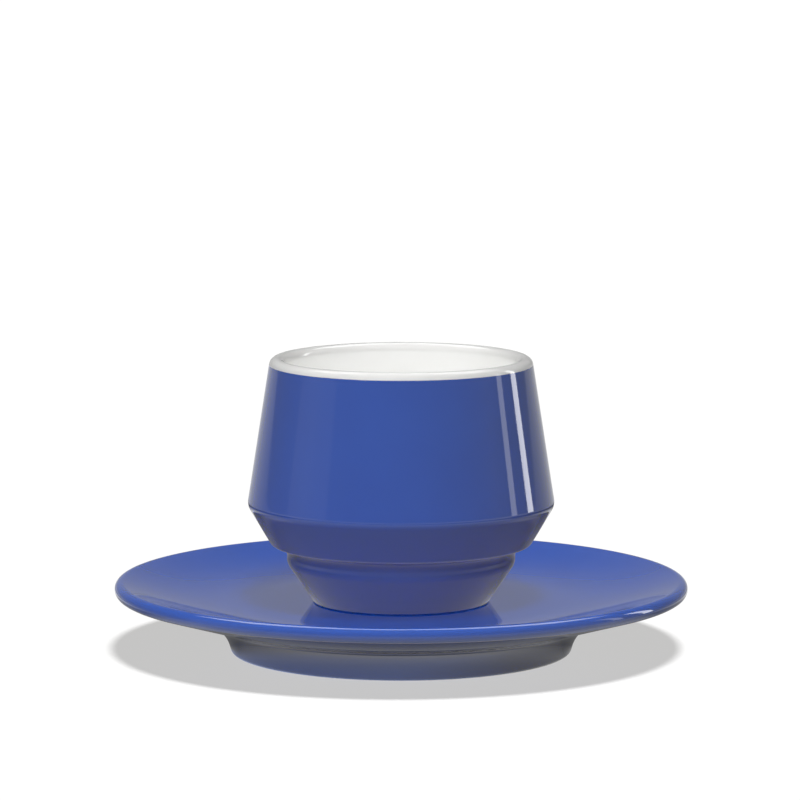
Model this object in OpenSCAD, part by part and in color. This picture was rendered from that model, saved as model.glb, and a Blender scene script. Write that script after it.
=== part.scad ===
// Cortado cup and saucer: a cup without a handle, standing on a dished saucer.
// Both are fired white clay under coats of glaze, blue outside and white inside the cup.
// Millimetres, +Z up. The origin is on the common axis, on the table under the saucer's foot.

/* [Cup] */
// Height of the cup from its foot to the top of its lip
cup_h = 60; // [54:0.5:68]
// Outer diameter over the rounded lip
rim_d = 64.3; // [60:0.1:70]
// Thickness of the wall, which rounds over into the lip
wall_t = 3.8; // [3:0.1:4.6]
// Largest diameter, at the corner of the shoulder
shoulder_d = 75; // [72:0.5:82]
// Height of the shoulder above the cup's foot
shoulder_h = 24; // [20:0.5:30]
// Rounding of the shoulder
shoulder_round = 3.4; // [1:0.1:6]
// Height above the cup's foot of the ledge under the body
ledge_h = 14.1; // [12:0.1:16]
// Outer diameter of the ledge
ledge_d = 63.3; // [61:0.1:68]
// Rounding of the ledge's outer edge
ledge_round = 1.6; // [0.5:0.1:2.5]
// Rounding where the ledge sweeps down into the neck
ledge_fillet = 2.8; // [0.8:0.1:4]
// Height of the upright neck under the ledge
neck_h = 4.5; // [2:0.1:6]
// Gap all round between the neck and the lip of a like cup that it stacks in
stack_clearance = 0.5; // [0.1:0.05:1]
// Rounding at the bottom of the neck
neck_round = 3.5; // [0.5:0.1:5]
// Outer diameter of the cup's foot
cup_foot_d = 42.6; // [38:0.2:48]
// Width of the ring that the cup stands on
cup_ring_w = 3; // [2:0.1:5]
// Depth of the hollow inside the cup's foot ring
cup_hollow = 1.5; // [0.8:0.1:2]
// Height of the inside floor above the cup's foot
floor_h = 5; // [4.2:0.1:7]
// Height of the inside waist above the ledge
waist_rise = 1.3; // [0:0.1:3]
// Rounding inside at the shoulder, the waist and the floor
inside_round = 8; // [3:0.5:12]

/* [Saucer] */
// Outer diameter of the saucer
saucer_d = 140; // [130:1:160]
// Height of the saucer's rim above the table
saucer_h = 17.6; // [16:0.1:20]
// Thickness of the sloping rim, which is rounded at its edge
rim_t = 3.6; // [3:0.1:4.4]
// Slope of the rim above level, in degrees
rim_slope = 16.4; // [13:0.2:20]
// Height of the flat well that the cup stands in, above the table
well_h = 12.3; // [11:0.1:13.5]
// Radius of the curve from the well into the rim
dish_round = 80; // [30:1:100]
// Outer diameter of the saucer's foot where it meets the table
saucer_foot_d = 81; // [76:0.5:88]
// Rounding of the foot's lower edge
foot_edge_round = 1.2; // [0.6:0.1:2]
// Lean of the foot's wall out from upright, in degrees
foot_lean = 15; // [5:1:25]
// Rounding where the foot sweeps out into the underside of the rim
foot_round = 9.5; // [2:0.5:10]
// Width of the ring that the saucer stands on
saucer_ring_w = 3; // [2:0.1:5]
// Thickness of the saucer under its well
base_t = 4.2; // [3.4:0.1:6]

/* [Feet and glaze] */
// Lean of both foot hollows' walls from upright, in degrees
hollow_draft = 10; // [2:1:20]
// Rounding at the top of both foot hollows
hollow_round = 1; // [0.6:0.1:1.5]
// Thickness of each coat of glaze
glaze_t = 0.4; // [0.2:0.05:0.5]
// Width of the white glaze on the outside, below the lip's rounding
white_band = 0.1; // [0.1:0.05:3]
// Height of the bare edge of both feet above what they stand on
bare_edge = 0.1; // [0.05:0.05:0.4]

/* [Hidden] */

// Turn of one step along a rounded corner, in degrees, and sides of a turned solid
arc_step = 6;
turned_sides = 180;
// Share of an edge that its two rounded corners may use up
edge_share = 0.999;
// How far the feet run on below the level where they are cut flat
foot_overrun = 1;

blue = [0.20, 0.31, 0.62];
white = [0.95, 0.95, 0.94];
clay = [0.90, 0.88, 0.84];

// Outlines are lists of [radius, height] corners that go round with the clay on the left.
function heading(a, b) = (b - a) / norm(b - a);
function left_of(way) = [-way[1], way[0]];
function swung(v, angle) = [v[0] * cos(angle) - v[1] * sin(angle), v[0] * sin(angle) + v[1] * cos(angle)];
function at_angle(angle) = [cos(angle), sin(angle)];
function backwards(list) = [for (i = [len(list) - 1 : -1 : 0]) list[i]];
function all_but_first(list) = [for (i = [1 : 1 : len(list) - 1]) list[i]];

// Where the line from p along a meets the line from q along b
function crossing(p, a, q, b) = p + a * cross(q - p, b) / cross(a, b);

// Heading into and out of a corner, and how far it turns, left being positive
function way_in(path, i) = heading(path[max(i, 1) - 1], path[max(i, 1)]);
function way_out(path, i) = way_in(path, min(i + 1, len(path) - 1));
function turn_at(path, i) =
  atan2(cross(way_in(path, i), way_out(path, i)), way_in(path, i) * way_out(path, i));

// The same corners, each a set depth to the left, so that the edges stay parallel
function sunk(path, depth) = [
  for (i = [0 : len(path) - 1])
    let (aside = left_of(way_in(path, i)) + left_of(way_out(path, i)))
      path[i] + aside * 2 * depth / (aside * aside)
];

// Corner radii for sunk corners: outside corners get tighter and inside ones wider
function sunk_rounds(path, rounds, depth) = [
  for (i = [0 : len(path) - 1])
    rounds[i] == 0 ? 0 : max(rounds[i] - sign(turn_at(path, i)) * depth, 0)
];

// How far a corner's curve wants to run back along its edges, and how far it may
function wanted(path, rounds, i) = rounds[i] * tan(abs(turn_at(path, i)) / 2);
function shared(path, rounds, i, k) =
  edge_share * norm(path[k] - path[i]) * wanted(path, rounds, i)
  / (wanted(path, rounds, i) + wanted(path, rounds, k));
function allowed(path, rounds, i) =
  min(wanted(path, rounds, i), shared(path, rounds, i, i - 1), shared(path, rounds, i, i + 1));

// Points along one rounded corner
function corner(path, rounds, i) =
  let (
    turn = turn_at(path, i),
    run = allowed(path, rounds, i),
    spoke = sign(turn) * run / tan(abs(turn) / 2) * left_of(way_in(path, i)),
    centre = path[i] - run * way_in(path, i) + spoke,
    steps = ceil(abs(turn) / arc_step)
  )
    [for (k = [0 : steps]) centre - swung(spoke, turn * k / steps)];

function rounded(path, rounds) = [
  for (i = [0 : len(path) - 1])
    each rounds[i] == 0 ? [path[i]] : corner(path, rounds, i)
];

// The clay's own surface under a glazed path, and the closed outline of the coat on it
function under_glaze(path, rounds) = rounded(sunk(path, glaze_t), sunk_rounds(path, rounds, glaze_t));
function coat(path, rounds) = concat(rounded(path, rounds), backwards(under_glaze(path, rounds)));

// Cup, measured from its own foot: the lip is a half round that both faces of the wall run into
lip_r = wall_t / 2;
lip_centre = [rim_d / 2 - lip_r, cup_h - lip_r];
shoulder = [shoulder_d / 2, shoulder_h];
to_lip = lip_centre - shoulder;
wall_angle = atan2(to_lip[1], to_lip[0]) - asin(lip_r / norm(to_lip));
wall_way = at_angle(wall_angle);
lip_outer = lip_centre + lip_r * (wall_way - left_of(wall_way));
lip_inner = lip_outer + wall_t * left_of(wall_way);
glaze_line = lip_outer - (lip_r + white_band) * wall_way;

// The neck drops inside a like cup's lip and the ledge rests on it, so that cups stack
ledge_edge = [ledge_d / 2, ledge_h];
neck_r = rim_d / 2 - wall_t - stack_clearance;
neck_top = [neck_r, ledge_h];
neck_low = [neck_r, ledge_h - neck_h];
cup_foot = [cup_foot_d / 2, 0];
taper_way = heading(cup_foot, neck_low);

cup_outside = [
  cup_foot - foot_overrun * taper_way,
  neck_low, neck_top, ledge_edge, shoulder, glaze_line
];
cup_outside_rounds = [0, neck_round, ledge_fillet, ledge_round, shoulder_round, 0];

// Inside, the wall keeps its thickness and draws in to a waist that clears the neck
inner_shoulder = sunk([ledge_edge, shoulder, lip_outer], wall_t)[1];
inner_waist = [neck_r - wall_t, ledge_h + waist_rise];
inner_floor = crossing(cup_foot + wall_t * left_of(taper_way), taper_way, [0, floor_h], [1, 0]);
cup_inside = [glaze_line, lip_outer, lip_inner, inner_shoulder, inner_waist, inner_floor, [0, floor_h]];
cup_inside_rounds = [0, lip_r, lip_r, inside_round, inside_round, inside_round, 0];

// Hollow inside a foot ring, from the axis out and down past the ring's level
function hollow(top_h, ring_r) = [
  [0, top_h],
  [ring_r - top_h * tan(hollow_draft), top_h],
  [ring_r + foot_overrun * tan(hollow_draft), -foot_overrun]
];
hollow_rounds = [0, hollow_round, 0];
cup_underside = hollow(cup_hollow, cup_foot_d / 2 - cup_ring_w);

// Saucer, measured from the table: a sloping rim of even thickness with a half-round edge
edge_r = rim_t / 2;
edge_centre = [saucer_d / 2 - edge_r, saucer_h - edge_r];
rim_way = at_angle(rim_slope);
rim_low = edge_centre + edge_r * (rim_way - left_of(rim_way));
rim_high = edge_centre + edge_r * (rim_way + left_of(rim_way));
ring_edge = [saucer_foot_d / 2, 0];
foot_low = ring_edge + [bare_edge + foot_edge_round * tan((90 - foot_lean) / 2), 0];
foot_top = crossing(foot_low, at_angle(90 - foot_lean), rim_low, rim_way);
well_edge = crossing(rim_high, rim_way, [0, well_h], [1, 0]);

saucer_outside = [ring_edge, foot_low, foot_top, rim_low, rim_high, well_edge, [0, well_h]];
saucer_outside_rounds = [0, foot_edge_round, foot_round, edge_r, edge_r, dish_round, 0];
saucer_underside = hollow(well_h - base_t, saucer_foot_d / 2 - saucer_ring_w);

// A solid of revolution, cut flat at a level
module turned(outline, level = 0) {
  rotate_extrude($fn = turned_sides)
    intersection() {
      polygon(outline);
      translate([0, level]) square(saucer_d);
    }
}

// The cup's pieces stand in the saucer's well
module in_well() {
  translate([0, 0, well_h]) children();
}

module saucer_body() {
  color(clay)
    turned(
      concat(
        under_glaze(saucer_underside, hollow_rounds),
        [ring_edge - [0, foot_overrun]],
        under_glaze(saucer_outside, saucer_outside_rounds)
      )
    );
}

module saucer_glaze() {
  color(blue) turned(coat(saucer_outside, saucer_outside_rounds), bare_edge);
}

module saucer_base_glaze() {
  color(blue) turned(coat(saucer_underside, hollow_rounds), bare_edge);
}

module cup_body() {
  color(clay) in_well()
    turned(
      concat(
        under_glaze(cup_underside, hollow_rounds),
        under_glaze(cup_outside, cup_outside_rounds),
        all_but_first(under_glaze(cup_inside, cup_inside_rounds))
      )
    );
}

module cup_outer_glaze() {
  color(blue) in_well() turned(coat(cup_outside, cup_outside_rounds), bare_edge);
}

module cup_inner_glaze() {
  color(white) in_well() turned(coat(cup_inside, cup_inside_rounds));
}

module cup_base_glaze() {
  color(blue) in_well() turned(coat(cup_underside, hollow_rounds), bare_edge);
}

saucer_body();
saucer_glaze();
saucer_base_glaze();
cup_body();
cup_outer_glaze();
cup_inner_glaze();
cup_base_glaze();
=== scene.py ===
import bpy
import bmesh
import math
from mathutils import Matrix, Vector


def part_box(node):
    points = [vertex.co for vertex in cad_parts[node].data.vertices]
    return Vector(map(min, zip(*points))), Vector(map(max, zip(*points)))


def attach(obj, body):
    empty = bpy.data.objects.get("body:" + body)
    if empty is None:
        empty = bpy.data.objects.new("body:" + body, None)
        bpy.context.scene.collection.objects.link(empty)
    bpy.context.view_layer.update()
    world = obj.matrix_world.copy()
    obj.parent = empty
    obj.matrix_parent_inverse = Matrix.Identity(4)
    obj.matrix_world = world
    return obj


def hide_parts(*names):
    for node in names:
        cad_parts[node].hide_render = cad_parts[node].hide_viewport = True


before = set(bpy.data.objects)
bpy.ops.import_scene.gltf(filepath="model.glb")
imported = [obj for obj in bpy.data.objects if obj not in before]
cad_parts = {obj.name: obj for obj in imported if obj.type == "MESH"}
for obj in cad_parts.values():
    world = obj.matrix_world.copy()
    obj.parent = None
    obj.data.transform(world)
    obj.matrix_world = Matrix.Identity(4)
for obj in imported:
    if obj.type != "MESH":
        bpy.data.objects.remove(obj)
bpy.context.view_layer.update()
mm = 0.001  # sizes are written in millimetres, Blender works in metres
scene = bpy.context.scene
print("frame loaded:", ", ".join(sorted(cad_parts)))


# Turning on the lathe. Outlines are (point, rounding) corners with the clay on the left,
# and a point is a Vector of radius and height.
lathe = {
    "faces": 216,                    # faces round a turned piece
    "arcStep": math.radians(3),      # turn of one step along a rounding
    "fewest": 2,                     # steps along any rounding
    "longest": 2 * mm,               # longest straight step
    "coat": 0.4 * mm,                # thickness of a coat of glaze
    "crisp": math.radians(40),       # edges that turn more than this stay sharp
    "join": 0.001 * mm,              # points closer than this are one
    "cut": 0.0001 * mm,              # points closer than this to a cut are on it
    "evenRound": 1.5 * mm,           # glaze thins, or pools with painted shade, fully on roundings tighter than this
}


def heading(angle):
    return Vector((math.cos(angle), math.sin(angle)))


def leftOf(way):
    return Vector((-way.y, way.x))


def meeting(p, a, q, b):  # where the line from p along a meets the line from q along b
    return p + a * ((q - p).cross(b) / a.cross(b))


def straightTo(bm, pen, point):
    run = Vector((point.x, 0, point.y)) - pen.co
    if run.length < lathe["join"]:
        return pen
    steps = math.ceil(run.length / lathe["longest"])
    for _ in range(steps):
        pen = bmesh.ops.extrude_vert_indiv(bm, verts=[pen])["verts"][0]
        bmesh.ops.translate(bm, verts=[pen], vec=run / steps)
    return pen


def roundTo(bm, pen, centre, turn, rounding, edge):
    steps = max(lathe["fewest"], math.ceil(abs(turn) / lathe["arcStep"]))
    known = set(bm.verts)
    swept = bmesh.ops.spin(bm, geom=[pen], cent=(centre.x, 0, centre.y), axis=(0, -1, 0),
                           angle=turn, steps=steps, use_merge=False)
    share = math.copysign(min(1, lathe["evenRound"] / rounding), turn)
    for step, vert in enumerate([v for v in bm.verts if v not in known], 1):
        vert[edge] = share * math.sin(math.pi * step / steps)  # plus on edges, minus in corners
    return swept["geom_last"][0]


def drawOutline(bm, corners):
    edge = bm.verts.layers.float.new("glazeEdge")
    first = corners[0][0]
    pen = bm.verts.new((first.x, 0, first.y))
    for (before, _), (here, rounding), (after, _) in zip(corners, corners[1:], corners[2:]):
        wayIn = (here - before).normalized()
        wayOut = (after - here).normalized()
        turn = math.atan2(wayIn.cross(wayOut), wayIn.dot(wayOut))
        start = here - wayIn * rounding * math.tan(abs(turn) / 2)
        pen = straightTo(bm, pen, start)
        centre = start + leftOf(wayIn) * math.copysign(rounding, turn)
        pen = roundTo(bm, pen, centre, turn, rounding, edge)
        pen[edge] = 0
    straightTo(bm, pen, corners[-1][0])


def insideOut(bm, corners):
    start, end = corners[0][0], corners[1][0]
    middle = (start + end) / 2
    outwards = -leftOf((end - start).normalized())
    spot = Vector((middle.x, 0, middle.y))
    nearest = min(bm.faces, key=lambda face: (face.calc_center_median() - spot).length)
    return nearest.normal.dot(Vector((outwards.x, 0, outwards.y))) < 0


def turnCoat(name, corners, lowest):
    bm = bmesh.new()
    drawOutline(bm, corners)
    bmesh.ops.bisect_plane(bm, geom=bm.verts[:] + bm.edges[:], dist=lathe["cut"],
                           plane_co=(0, 0, lowest), plane_no=(0, 0, 1), clear_inner=True)
    bmesh.ops.spin(bm, geom=bm.verts[:] + bm.edges[:], cent=(0, 0, 0), axis=(0, 0, 1),
                   angle=2 * math.pi, steps=lathe["faces"], use_merge=True)
    bmesh.ops.remove_doubles(bm, verts=bm.verts[:], dist=lathe["join"])
    bmesh.ops.recalc_face_normals(bm, faces=bm.faces[:])
    if insideOut(bm, corners):
        bmesh.ops.reverse_faces(bm, faces=bm.faces[:])
    bmesh.ops.solidify(bm, geom=bm.faces[:], thickness=lathe["coat"])
    for face in bm.faces:
        face.smooth = True
    for line in bm.edges:
        line.smooth = line.calc_face_angle(0) < lathe["crisp"]
    mesh = bpy.data.meshes.new(name)
    bm.to_mesh(mesh)
    bm.free()
    piece = bpy.data.objects.new(name, mesh)
    scene.collection.objects.link(piece)
    print("turned", name, len(mesh.polygons), "faces")
    return piece


foot = {
    "bareEdge": 0.1 * mm,               # the glaze is wiped back this far above the table
    "hollowDraft": math.radians(10),
    "hollowRound": 1 * mm,
}


def hollowUnder(level, top, ringRadius):  # inside a foot ring, from the axis out and down
    return [
        (Vector((0, level + top)), 0),
        (Vector((ringRadius - top * math.tan(foot["hollowDraft"]), level + top)), foot["hollowRound"]),
        (Vector((ringRadius, level)), 0),
    ]


# Saucer
saucer = {
    "radius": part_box("saucer_glaze")[1].x,
    "top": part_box("saucer_glaze")[1].z,
    "well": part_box("cup_body")[0].z,      # the cup stands on the well
    "rim": 3.6 * mm,                      # thickness of the rim
    "slope": math.radians(16.4),
    "dishRound": 80 * mm,
    "footRadius": 40.5 * mm,
    "footEdge": 1.2 * mm,                 # rounding of the foot's lower edge
    "footLean": math.radians(15),
    "footRound": 9.5 * mm,
    "ring": 3 * mm,                       # width of the ring that it stands on
    "base": 4.2 * mm,                     # thickness under the well
}

edgeRound = saucer["rim"] / 2
edgeCentre = Vector((saucer["radius"] - edgeRound, saucer["top"] - edgeRound))
rimWay = heading(saucer["slope"])
rimLow = edgeCentre + (rimWay - leftOf(rimWay)) * edgeRound
rimHigh = edgeCentre + (rimWay + leftOf(rimWay)) * edgeRound
footTilt = math.pi / 2 - saucer["footLean"]
ringEdge = Vector((saucer["footRadius"], 0))
footLow = ringEdge + Vector((foot["bareEdge"] + saucer["footEdge"] * math.tan(footTilt / 2), 0))
footTop = meeting(footLow, heading(footTilt), rimLow, rimWay)
wellCentre = Vector((0, saucer["well"]))
wellEdge = meeting(rimHigh, rimWay, wellCentre, Vector((1, 0)))

saucerGlaze = turnCoat("saucerGlaze", [
    (ringEdge, 0),
    (footLow, saucer["footEdge"]),
    (footTop, saucer["footRound"]),
    (rimLow, edgeRound),
    (rimHigh, edgeRound),
    (wellEdge, saucer["dishRound"]),
    (wellCentre, 0),
], foot["bareEdge"])
saucerBaseGlaze = turnCoat("saucerBaseGlaze", hollowUnder(
    0, saucer["well"] - saucer["base"], saucer["footRadius"] - saucer["ring"]), foot["bareEdge"])


# Cup
cup = {
    "level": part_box("cup_body")[0].z,            # its foot stands on the saucer's well
    "top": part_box("cup_inner_glaze")[1].z,
    "rimRadius": 32.15 * mm,
    "wall": 3.8 * mm,
    "shoulder": (37.5 * mm, 24 * mm),            # radius, and height above the cup's foot
    "shoulderRound": 3.4 * mm,
    "ledge": (31.65 * mm, 14.1 * mm),
    "ledgeRound": 1.6 * mm,
    "ledgeFillet": 2.8 * mm,                     # where the ledge sweeps down into the neck
    "neck": 4.5 * mm,                            # height of the upright neck
    "neckGap": 0.5 * mm,                         # the neck fits inside the lip of a like cup
    "neckRound": 3.5 * mm,
    "footRadius": 21.3 * mm,
    "ring": 3 * mm,
    "hollow": 1.5 * mm,
    "floor": 5 * mm,
    "waistRise": 1.3 * mm,
    "insideRound": 8 * mm,
    "whiteBand": 0.1 * mm,                       # white glaze on the outside, below the lip's rounding
}


def aboveFoot(radius, height):
    return Vector((radius, cup["level"] + height))


lipRound = cup["wall"] / 2
lipCentre = Vector((cup["rimRadius"] - lipRound, cup["top"] - lipRound))
shoulder = aboveFoot(*cup["shoulder"])
toLip = lipCentre - shoulder
wallWay = heading(math.atan2(toLip.y, toLip.x) - math.asin(lipRound / toLip.length))
lipOuter = lipCentre + (wallWay - leftOf(wallWay)) * lipRound
lipInner = lipOuter + leftOf(wallWay) * cup["wall"]
glazeLine = lipOuter - wallWay * (lipRound + cup["whiteBand"])

ledgeEdge = aboveFoot(*cup["ledge"])
neckRadius = cup["rimRadius"] - cup["wall"] - cup["neckGap"]
neckTop = Vector((neckRadius, ledgeEdge.y))
neckLow = Vector((neckRadius, ledgeEdge.y - cup["neck"]))
cupFoot = aboveFoot(cup["footRadius"], 0)
taperWay = (neckLow - cupFoot).normalized()

# Inside, the wall keeps its thickness under the shoulder and draws in to a waist above the neck
coneWay = (shoulder - ledgeEdge).normalized()
innerShoulder = meeting(lipInner, wallWay, ledgeEdge + leftOf(coneWay) * cup["wall"], coneWay)
innerWaist = aboveFoot(neckRadius - cup["wall"], cup["ledge"][1] + cup["waistRise"])
floorCentre = aboveFoot(0, cup["floor"])
innerFloor = meeting(cupFoot + leftOf(taperWay) * cup["wall"], taperWay, floorCentre, Vector((1, 0)))

cupOuterGlaze = turnCoat("cupOuterGlaze", [
    (cupFoot, 0),
    (neckLow, cup["neckRound"]),
    (neckTop, cup["ledgeFillet"]),
    (ledgeEdge, cup["ledgeRound"]),
    (shoulder, cup["shoulderRound"]),
    (glazeLine, 0),
], cup["level"] + foot["bareEdge"])
cupInnerGlaze = turnCoat("cupInnerGlaze", [
    (glazeLine, 0),
    (lipOuter, lipRound),
    (lipInner, lipRound),
    (innerShoulder, cup["insideRound"]),
    (innerWaist, cup["insideRound"]),
    (innerFloor, cup["insideRound"]),
    (floorCentre, 0),
], cup["level"])
cupBaseGlaze = turnCoat("cupBaseGlaze", hollowUnder(
    cup["level"], cup["hollow"], cup["footRadius"] - cup["ring"]), cup["level"] + foot["bareEdge"])


# Finishes
def feed(tree, socket, value):  # a socket takes a number, a colour or another node's output
    if isinstance(value, bpy.types.NodeSocket):
        tree.links.new(value, socket)
    elif isinstance(value, tuple):
        socket.default_value = (*value, 1)
    else:
        socket.default_value = value


def addNode(tree, kind, **sockets):
    node = tree.nodes.new("ShaderNode" + kind)
    for name, value in sockets.items():
        feed(tree, node.inputs[name], value)
    return node


def maths(tree, operation, *values):
    step = addNode(tree, "Math")
    step.operation = operation
    for socket, value in zip(step.inputs, values):
        feed(tree, socket, value)
    return step.outputs[0]


def fade(tree, value, start, end):  # start and end pair a value with what it becomes
    ramp = addNode(tree, "MapRange", Value=value)
    for name, result in zip(("From Min", "To Min", "From Max", "To Max"), (*start, *end)):
        feed(tree, ramp.inputs[name], result)
    return ramp.outputs["Result"]


def noiseOn(tree, scale, detail):
    place = addNode(tree, "TexCoord").outputs["Object"]
    return addNode(tree, "TexNoise", Vector=place, Scale=scale, Detail=detail).outputs["Fac"]


noiseMiddle = (0.3, 0.7)  # most of a noise lies between these


def spread(tree, noise, low, high):  # stretches the middle of a noise to a range
    least, most = noiseMiddle
    return fade(tree, noise, (least, low), (most, high))


def blend(tree, share, first, second):
    mix = addNode(tree, "Mix")
    mix.data_type = 'RGBA'
    feed(tree, mix.inputs["Factor"], share)
    feed(tree, mix.inputs[6], first)  # the sockets that take colours
    feed(tree, mix.inputs[7], second)
    return mix.outputs[2]


def edgeShare(tree, fullEdge, most):  # how far the glaze has run off edges, at 1, or pooled into corners with painted shade, at -1
    mark = addNode(tree, "Attribute")
    mark.attribute_name = "glazeEdge"
    return fade(tree, mark.outputs["Fac"], (0, 0), (fullEdge, most))


def newFinish(name):
    finish = bpy.data.materials.new(name)
    finish.use_nodes = True
    return finish, finish.node_tree, finish.node_tree.nodes["Principled BSDF"]


def addBump(tree, shader, height, strength, depth):
    bump = addNode(tree, "Bump", Height=height, Strength=strength, Distance=depth)
    feed(tree, shader.inputs["Normal"], bump.outputs["Normal"])


glaze = {                              # what both glazes share
    "ior": 1.52,
    "cloudDetail": 3,
    "glossScale": 240,
    "glossDetail": 2,
    "rippleScale": 160,
    "rippleDetail": 2,
    "rippleDepth": 0.05 * mm,
}


def glazeFinish(name, look):
    finish, tree, shader = newFinish(name)
    cloud = spread(tree, noiseOn(tree, look["cloudScale"], glaze["cloudDetail"]), 0, 1)
    colour = blend(tree, cloud, look["deep"], look["light"])
    colour = blend(tree, edgeShare(tree, 1, look["thinning"]), colour, look["thin"])
    # darker in concave corners, such as under the ledge: glaze pooling together with painted shade
    colour = blend(tree, edgeShare(tree, -1, look["poolingAndShade"]), colour, look["poolAndShade"])
    feed(tree, shader.inputs["Base Color"], colour)
    sheen = noiseOn(tree, glaze["glossScale"], glaze["glossDetail"])
    gloss = spread(tree, sheen, *look["roughness"])
    feed(tree, shader.inputs["Roughness"], gloss)
    feed(tree, shader.inputs["IOR"], glaze["ior"])
    waves = noiseOn(tree, glaze["rippleScale"], glaze["rippleDetail"])
    addBump(tree, shader, waves, look["ripple"], glaze["rippleDepth"])
    return finish


blueGlaze = glazeFinish("blueGlaze", {
    "deep": (0.002, 0.050, 0.325),
    "light": (0.003, 0.054, 0.340),
    "thin": (0.010, 0.070, 0.380),
    # darker in corners: glaze pooling plus painted shade
    "poolAndShade": (0.002, 0.038, 0.260),
    "thinning": 0.5,
    "poolingAndShade": 0.6,
    "cloudScale": 70,                  # soft clouds about 14 mm across
    "roughness": (0.03, 0.06),
    "ripple": 0.02,
})
whiteGlaze = glazeFinish("whiteGlaze", {
    "deep": (0.85, 0.85, 0.835),
    "light": (0.88, 0.88, 0.87),
    "thin": (0.86, 0.85, 0.83),
    "poolAndShade": (0.84, 0.85, 0.84),
    "thinning": 0.3,
    "poolingAndShade": 0.4,
    "cloudScale": 60,
    "roughness": (0.04, 0.07),
    "ripple": 0.05,
})

clayLook = {
    "pale": (0.78, 0.75, 0.69),
    "warm": (0.70, 0.66, 0.59),
    "speck": (0.40, 0.34, 0.27),
    "grainScale": 900,                 # grains about a millimetre across
    "grainDetail": 4,
    "speckScale": 650,
    "speckSize": (0.05, 0.12),         # its dark middle and its edge, as shares of a cell
    "roughness": (0.75, 0.92),
    "grain": 0.4,
    "grainDepth": 0.1 * mm,
}


def clayFinish(name, look):
    finish, tree, shader = newFinish(name)
    grain = noiseOn(tree, look["grainScale"], look["grainDetail"])
    colour = blend(tree, spread(tree, grain, 0, 1), look["pale"], look["warm"])
    place = addNode(tree, "TexCoord").outputs["Object"]
    cells = addNode(tree, "TexVoronoi", Vector=place, Scale=look["speckScale"])
    middle, edge = look["speckSize"]
    specks = fade(tree, cells.outputs["Distance"], (middle, 1), (edge, 0))
    feed(tree, shader.inputs["Base Color"], blend(tree, specks, colour, look["speck"]))
    feed(tree, shader.inputs["Roughness"], spread(tree, grain, *look["roughness"]))
    addBump(tree, shader, grain, look["grain"], look["grainDepth"])
    return finish


bareClay = clayFinish("bareClay", clayLook)

dressed = [
    (saucerGlaze, blueGlaze, "saucer", "saucer_glaze", "blue_glaze"),
    (saucerBaseGlaze, blueGlaze, "saucer", "saucer_base_glaze", "blue_glaze"),
    (cupOuterGlaze, blueGlaze, "cup", "cup_outer_glaze", "blue_glaze"),
    (cupInnerGlaze, whiteGlaze, "cup", "cup_inner_glaze", "white_glaze"),
    (cupBaseGlaze, blueGlaze, "cup", "cup_base_glaze", "blue_glaze"),
]
for piece, finish, body, node, slot in dressed:
    piece.data.materials.append(finish)
    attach(piece, body)
    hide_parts(node)

for node in ("saucer_body", "cup_body"):  # the clay shows only on the foot rings
    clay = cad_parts[node]
    clay.data.materials.clear()
    clay.data.materials.append(bareClay)
print("finishes set on", len(dressed), "coats and 2 clay bodies")


# Studio
def addStage(name, bm):
    mesh = bpy.data.meshes.new(name)
    bm.to_mesh(mesh)
    bm.free()
    prop = bpy.data.objects.new(name, mesh)
    scene.collection.objects.link(prop)
    finish = bpy.data.materials.new(name)
    finish.use_nodes = True
    finish.node_tree.nodes.clear()
    finish.cycles.emission_sampling = 'NONE'  # seen in the glaze, but no lamp
    mesh.materials.append(finish)
    return prop, finish.node_tree


def showEither(tree, share, first, second):
    mix = addNode(tree, "MixShader", Fac=share)
    feed(tree, mix.inputs[1], first.outputs[0])
    feed(tree, mix.inputs[2], second.outputs[0])
    addNode(tree, "OutputMaterial", Surface=mix.outputs[0])


def placeOn(tree):  # how far to the right and back a point of the stage is, and how far from the axis
    place = addNode(tree, "TexCoord").outputs["Object"]
    away = addNode(tree, "VectorMath")
    away.operation = 'LENGTH'
    feed(tree, away.inputs[0], place)
    split = addNode(tree, "SeparateXYZ", Vector=place).outputs
    return split["X"], split["Y"], away.outputs["Value"]


floorLook = {
    "size": 6.0,                         # metres from the middle to a side
    "shade": (0.560, 0.556, 0.547),      # what the camera sees in the object's shadow
    "colour": (0.2, 0.2, 0.2),           # its own colour, which floorKey lights outside the shadow
    "bounce": (0.1, 0.1, 0.1),           # the same for light thrown back at the object
    "under": (95 * mm, 0.4),             # how bright the glaze mirrors it beside the object, this far out
    "clear": (120 * mm, 1.0),            # and clear of the rim
    "beside": -10 * mm,                  # from here back
    "inFront": (-45 * mm, 1.65),         # and how bright in front
    "near": (150 * mm, 1),               # share of that which is left this far out
    "apart": (220 * mm, 0.25),
    "open": 300 * mm,                    # from here on the open floor adds
    "openInFront": (0, 1.3),             # this much in front and at the sides
    "openBehind": (0.5, 0.6),
    "covered": (60 * mm, 0.4),           # share of all this that is left under the dish, this far out
    "uncovered": (73 * mm, 1),           # and past the rim
    "touching": (5 * mm, 1),             # but glaze this near mirrors all of it
    "above": 11 * mm,                    # and glaze this far off only the share
    "blued": (1.03, 1.17, 1.68),         # its colour where glaze mirrors it from nearby, painted blue light from the saucer
    "bluedNear": (3 * mm, 8 * mm),       # how far off that begins to fade, and is gone
    "bluedLeft": (0, 30 * mm),           # and the same going to the right
}
bm = bmesh.new()
bmesh.ops.create_grid(bm, x_segments=1, y_segments=1, size=floorLook["size"])
floor, tree = addStage("floor", bm)
path = addNode(tree, "LightPath").outputs
toRight, back, away = placeOn(tree)
shade = addNode(tree, "Emission", Color=floorLook["shade"], Strength=path["Is Camera Ray"])
colour = blend(tree, path["Is Diffuse Ray"], floorLook["colour"], floorLook["bounce"])
matt = addNode(tree, "BsdfDiffuse", Color=colour)
paper = addNode(tree, "AddShader")
feed(tree, paper.inputs[0], shade.outputs[0])
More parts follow.
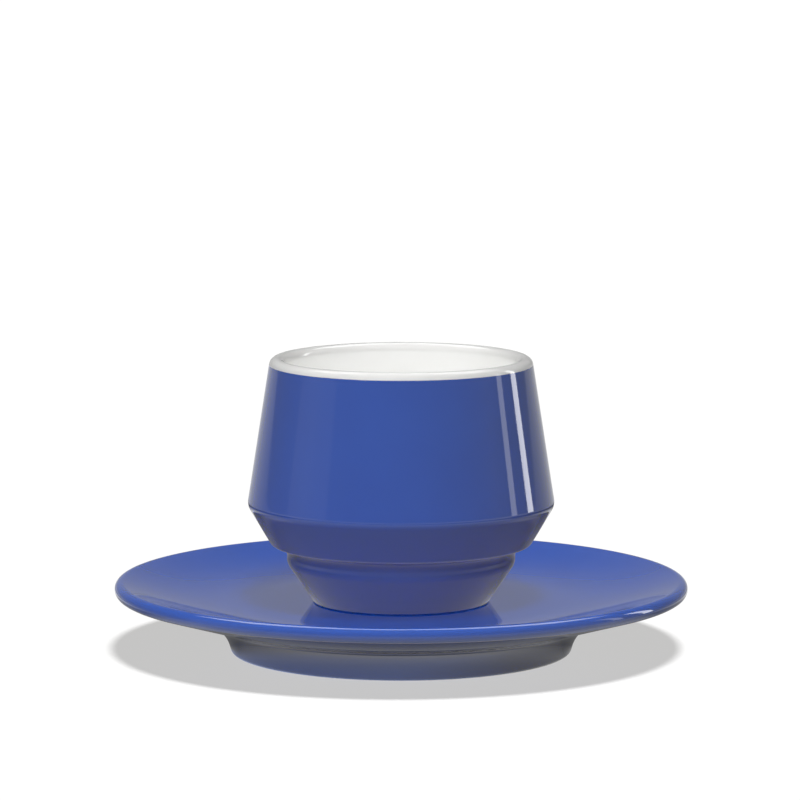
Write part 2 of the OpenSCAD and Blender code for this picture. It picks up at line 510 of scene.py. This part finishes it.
feed(tree, paper.inputs[1], matt.outputs[0])
near, apart = floorLook["near"][0], floorLook["apart"][0]
rising = fade(tree, away, floorLook["under"], floorLook["clear"])
beside = fade(tree, away, (near, rising), (apart, floorLook["under"][1]))
close = fade(tree, back, (floorLook["beside"], beside), floorLook["inFront"])
turn = maths(tree, 'DIVIDE', back, away)
farOff = (floorLook["open"], fade(tree, turn, floorLook["openInFront"], floorLook["openBehind"]))
closeShare = fade(tree, away, floorLook["near"], floorLook["apart"])
mirrored = maths(tree, 'MULTIPLY_ADD', close, closeShare, fade(tree, away, (apart, 0), farOff))
distance = path["Ray Length"]
underDish = (floorLook["above"], fade(tree, away, floorLook["covered"], floorLook["uncovered"]))
mirrored = maths(tree, 'MULTIPLY', mirrored, fade(tree, distance, floorLook["touching"], underDish))
plain = fade(tree, path["Glossy Depth"], (1, 0), (2, 1))  # and only the first mirroring is blued
for measure, limits in ((distance, "bluedNear"), (toRight, "bluedLeft")):
    fades, gone = floorLook[limits]
    plain = maths(tree, 'MAXIMUM', plain, fade(tree, measure, (fades, 0), (gone, 1)))
# the floor mirrored close to the foot carries painted blue light, fading out to the right
cast = blend(tree, plain, floorLook["blued"], (1, 1, 1))
glow = addNode(tree, "Emission", Color=cast, Strength=mirrored)
showEither(tree, path["Is Glossy Ray"], paper, glow)

# A pale card just above the dish, seen only as what the lower half of the cup mirrors
cardLook = {
    "inner": 20 * mm,
    "outer": 72.5 * mm,
    "gap": 0.1 * mm,                     # from the well up to its inner edge
    "rise": 6.3 * mm,                    # from there up to its outer edge
    "beside": (0.1, 0.28),               # how bright it is beside the cup, by its turn from the front
    "inFront": (-1, 1.05),
    "edge": (50 * mm, 58 * mm),          # where another brightness begins further out, and is full
    "edgeInFront": (-0.2, 1.15),         # that brightness in front, by the turn again
    "edgeBehind": (0.4, 0.2),
    "again": (2, 2.2),                   # brighter where the dish mirrors the cup with the card in it
}
bm = bmesh.new()
rise = cardLook["rise"]
bmesh.ops.create_cone(bm, cap_ends=False, segments=lathe["faces"], radius1=cardLook["inner"],
                      radius2=cardLook["outer"], depth=rise)
bmesh.ops.translate(bm, verts=bm.verts[:], vec=(0, 0, rise / 2))
bmesh.ops.reverse_faces(bm, faces=bm.faces[:])
card, tree = addStage("card", bm)
card.location.z = saucer["well"] + cardLook["gap"]
card.visible_camera = False
card.visible_diffuse = False
card.visible_shadow = False
_, back, away = placeOn(tree)
turn = maths(tree, 'DIVIDE', back, away)
middle = fade(tree, turn, cardLook["inFront"], cardLook["beside"])
edge = fade(tree, turn, cardLook["edgeInFront"], cardLook["edgeBehind"])
begins, full = cardLook["edge"]
mirrorings = addNode(tree, "LightPath").outputs["Glossy Depth"]
again = fade(tree, mirrorings, (1, 1), cardLook["again"])
strength = maths(tree, 'MULTIPLY', again, fade(tree, away, (begins, middle), (full, edge)))
glow = addNode(tree, "Emission", Strength=strength)
fromBelow = addNode(tree, "NewGeometry").outputs["Backfacing"]
showEither(tree, fromBelow, glow, addNode(tree, "BsdfTransparent"))


def aim(azimuth, elevation):  # from the front, in degrees, to the right and up
    across = math.radians(azimuth)
    up = math.radians(elevation)
    return Vector((math.sin(across) * math.cos(up), -math.cos(across) * math.cos(up), math.sin(up)))


def addLamp(name, kind, towards, place=(0, 0, 0)):
    lamp = bpy.data.objects.new(name, bpy.data.lights.new(name, kind))
    lamp.location = place
    lamp.rotation_euler = Vector(towards).to_track_quat('Z', 'Y').to_euler()
    scene.collection.objects.link(lamp)
    return lamp


def lampSet(name, members):
    group = bpy.data.collections.new(name)
    for member in members:
        group.objects.link(member)
    return group


saucerPieces = [saucerGlaze, saucerBaseGlaze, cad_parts["saucer_body"]]
cupPieces = [cupOuterGlaze, cupBaseGlaze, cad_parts["cup_body"]]
onSaucer = lampSet("onSaucer", saucerPieces)
onBlue = lampSet("onBlue", cupPieces)
onWhite = lampSet("onWhite", [cupInnerGlaze])
onAll = lampSet("onAll", saucerPieces + cupPieces + [cupInnerGlaze])
onFloor = lampSet("onFloor", [floor])
nothing = lampSet("nothing", [card])  # the card throws no shadow

# Name, azimuth, elevation, spread, brightness on a facing surface, what it lights and what shades it
suns = [
    ("key", 13.5, 69, 11.4, 0.42, onAll, None),
    ("front", -25.5, 43, 70, 0.82, onSaucer, onSaucer),
    ("top", 0, 90, 40, 0.2, onSaucer, None),
    ("floorKey", 13.5, 69, 11.4, 2.5, onFloor, None),
]
for name, azimuth, elevation, angle, brightness, lit, shading in suns:
    sun = addLamp(name, 'SUN', aim(azimuth, elevation))
    sun.data.angle = math.radians(angle)
    sun.data.energy = brightness * math.pi
    sun.data.cycles.use_multiple_importance_sampling = False  # or the set that shades it is passed over
    sun.visible_glossy = False
    sun.light_linking.receiver_collection = lit
    sun.light_linking.blocker_collection = shading

reach = 1.0  # metres from the origin to a softbox


def addSoftbox(name, azimuth, elevation, width, height, brightness):
    towards = aim(azimuth, elevation)
    box = addLamp(name, 'AREA', towards, towards * reach)
    box.data.shape = 'RECTANGLE'
    sides = [2 * reach * math.tan(math.radians(angle) / 2) for angle in (width, height)]
    box.data.size, box.data.size_y = sides
    box.data.energy = brightness * math.pi * box.data.size * box.data.size_y
    box.visible_camera = False
    return box


mirroredBoxes = [  # name, azimuth, elevation, width, height and brightness
    ("backTop", 180, 66, 60, 26, 4.3),
    ("rightBright", 111.7, 8, 7.3, 46, 6.0),
    ("rightDim", 92.2, 8, 5.8, 46, 2.15),
    ("left", -75, 8, 36, 46, 0.17),
]
for settings in mirroredBoxes:
    addSoftbox(*settings).visible_diffuse = False

aimedBoxes = [  # the same, then what it lights and what shades it
    ("frontOnBlue", -25.5, 43, 62, 62, 2.4, onBlue, None),
    ("backOnBlue", 180, 30, 40, 40, 2.8, onBlue, None),
    ("frontOnWhite", -25.5, 37, 130, 55, 1.23, onWhite, None),
    ("underWhite", 0, -90, 15, 15, 75, onWhite, nothing),
]
for *settings, lit, shading in aimedBoxes:
    box = addSoftbox(*settings)
    box.data.cycles.use_multiple_importance_sampling = False
    box.visible_glossy = False
    box.light_linking.receiver_collection = lit
    box.light_linking.blocker_collection = shading

room = {
    "front": (-0.2, 1.05),               # how bright the glaze mirrors it towards the camera
    "back": (0.7, 0.4),                  # and away from it
}
world = bpy.data.worlds.new("room")
scene.world = world
world.use_nodes = True
tree = world.node_tree
path = addNode(tree, "LightPath").outputs
direction = addNode(tree, "SeparateXYZ", Vector=addNode(tree, "TexCoord").outputs["Generated"])
mirrored = fade(tree, direction.outputs["Y"], room["front"], room["back"])
seen = maths(tree, 'ADD', path["Is Camera Ray"], path["Is Transmission Ray"])
backdrop = tree.nodes["Background"]
backdrop.inputs["Color"].default_value = (1, 1, 1, 1)
strength = maths(tree, 'MULTIPLY_ADD', path["Is Glossy Ray"], mirrored, seen)
feed(tree, backdrop.inputs["Strength"], strength)
print("studio lit")


# Camera
view = {
    "lens": 225.3,                       # millimetres
    "place": (0, -1.208, 0.22166),       # metres
    "tilt": math.radians(7.54),          # down from level
    "shift": -1.15 / 800,                # share of the picture's width
}
camera = bpy.data.objects.new("camera", bpy.data.cameras.new("camera"))
camera.data.lens = view["lens"]
camera.data.shift_x = view["shift"]
camera.location = view["place"]
camera.rotation_euler = (math.pi / 2 - view["tilt"], 0, 0)
scene.collection.objects.link(camera)
scene.camera = camera
scene.view_settings.view_transform = 'Standard'
